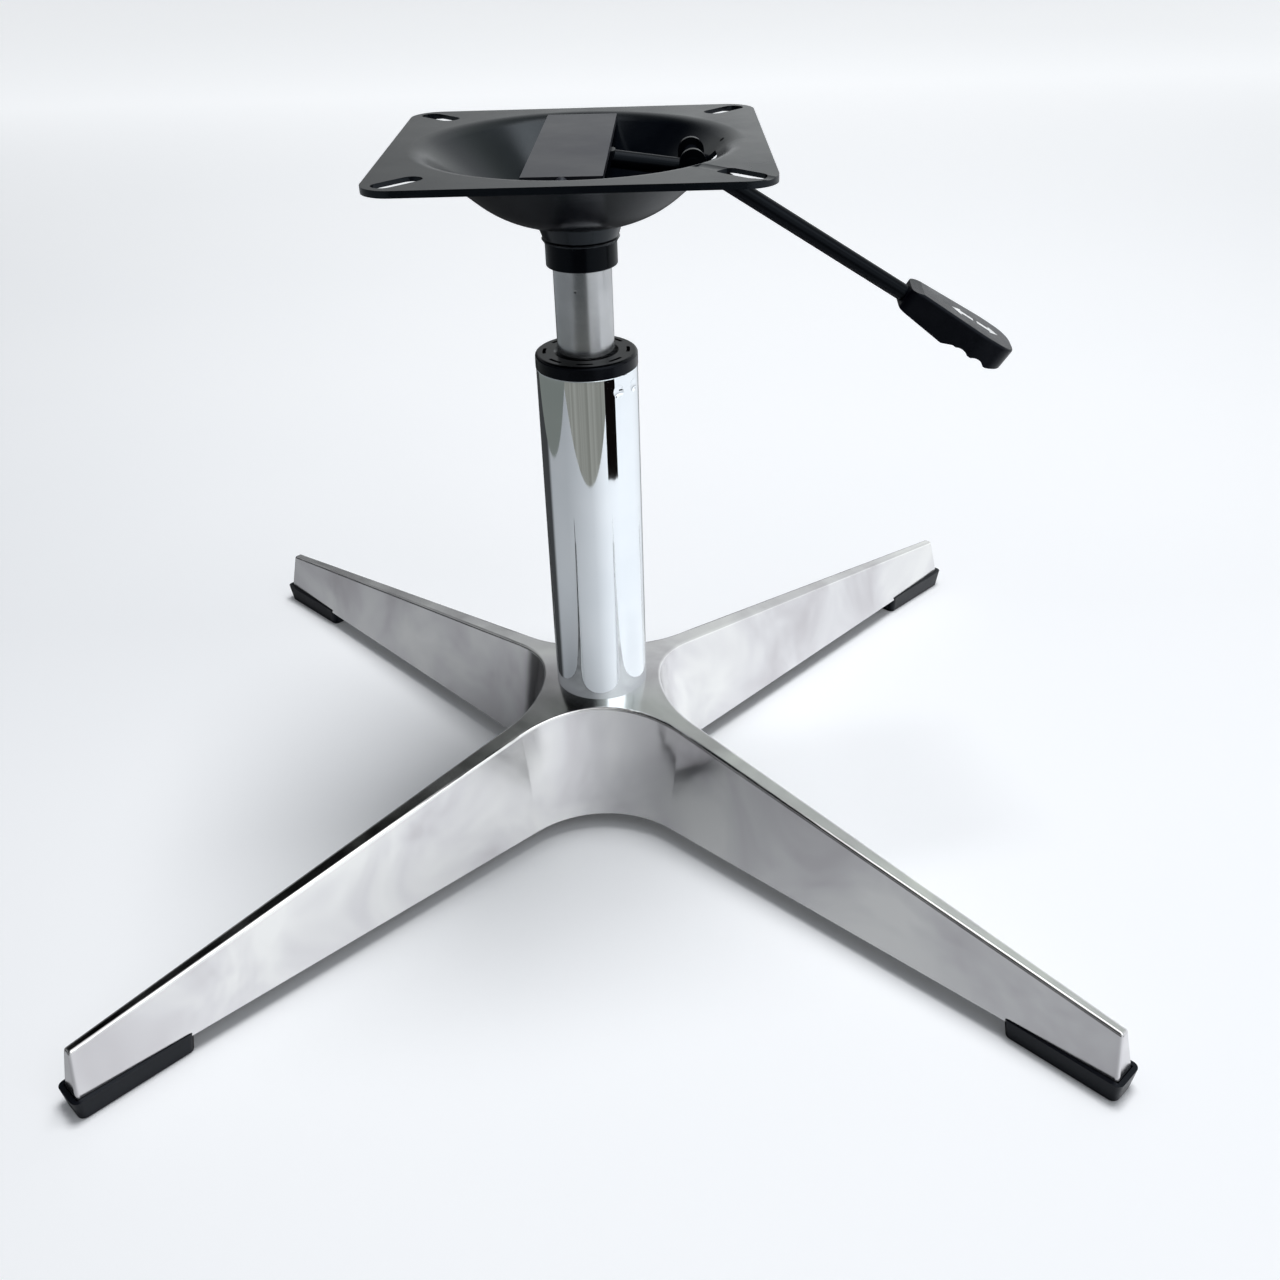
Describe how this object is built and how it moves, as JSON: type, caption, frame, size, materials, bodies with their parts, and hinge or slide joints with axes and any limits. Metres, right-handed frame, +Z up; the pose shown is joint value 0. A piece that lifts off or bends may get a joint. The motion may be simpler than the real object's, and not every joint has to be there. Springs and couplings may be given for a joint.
{
  "type": "swivel chair base",
  "caption": "Swivel chair base: a low cast star on soft pads, a chromed column with a sliding, turning gas cylinder, and a square slotted seat plate with a release lever.",
  "frame": {"origin": "on the floor, on the column's axis", "axes": "+Z is up; the arms lie along +X, -X, +Y and -Y; the lever points between +X and +Y"},
  "size_m": [0.6608, 0.6608, 0.361],
  "materials": {
    "polished_casting": "polished casting, slightly soft reflections",
    "pad_rubber": "satin black rubber",
    "chrome_plate": "mirror chrome",
    "plain_steel": "ground steel",
    "bush_plastic": "semi-gloss moulded black",
    "cage_plastic": "plain moulded",
    "satin_steel": "satin, drawn lengthways",
    "valve_brass": "turned",
    "black_coat": "satin black powder coat",
    "handle_plastic": "matte, fine moulded grain"
  },
  "bodies": {
    "base": {"star_base": "polished_casting", "foot_pad_1": "pad_rubber", "foot_pad_2": "pad_rubber", "foot_pad_3": "pad_rubber", "foot_pad_4": "pad_rubber", "column_tube": "chrome_plate", "guide_bush": "bush_plastic", "column_floor": "plain_steel", "lower_race": "plain_steel"},
    "rod": {"ball_cage": "cage_plastic", "bearing_balls": "plain_steel", "piston_rod": "plain_steel", "upper_race": "plain_steel", "rubber_buffer": "pad_rubber", "retaining_clip": "plain_steel", "clip_washer": "plain_steel", "piston": "cage_plastic", "piston_ring": "pad_rubber"},
    "seat": {"gas_cylinder": "satin_steel", "rod_guide": "valve_brass", "rod_seal": "pad_rubber", "inner_tube": "plain_steel", "valve_body": "valve_brass", "valve_seals": "pad_rubber", "socket_sleeve": "black_coat", "seat_plate": "black_coat", "bridge_strap": "black_coat", "lever_ear_left": "black_coat", "lever_ear_right": "black_coat", "pivot_pin": "black_coat"},
    "lever": {"lever_rod": "black_coat", "lever_handle": "handle_plastic"},
    "pin": {"release_pin": "plain_steel"}
  },
  "joints": [
    {"name": "swivel", "type": "hinge", "parent": "base", "child": "rod", "pos_m": [0, 0, 0], "axis": [0, 0, 1], "continuous": true},
    {"name": "lift", "type": "slide", "parent": "rod", "child": "seat", "axis": [0, 0, 1], "range_m": [-0.04, 0]},
    {"name": "release_lever", "type": "hinge", "parent": "seat", "child": "lever", "pos_m": [0.03677, 0.03677, 0.3525], "axis": [0.7071, -0.7071, 0], "range_deg": [0, 4], "stiffness_Nm_per_rad": 2},
    {"name": "pin_press", "type": "slide", "parent": "seat", "child": "pin", "axis": [0, 0, -1], "range_m": [0, 0.0038]}
  ],
  "couplings": [
    {"joint": "pin_press", "follows": "release_lever", "m_per_rad": 0.052}
  ]
}
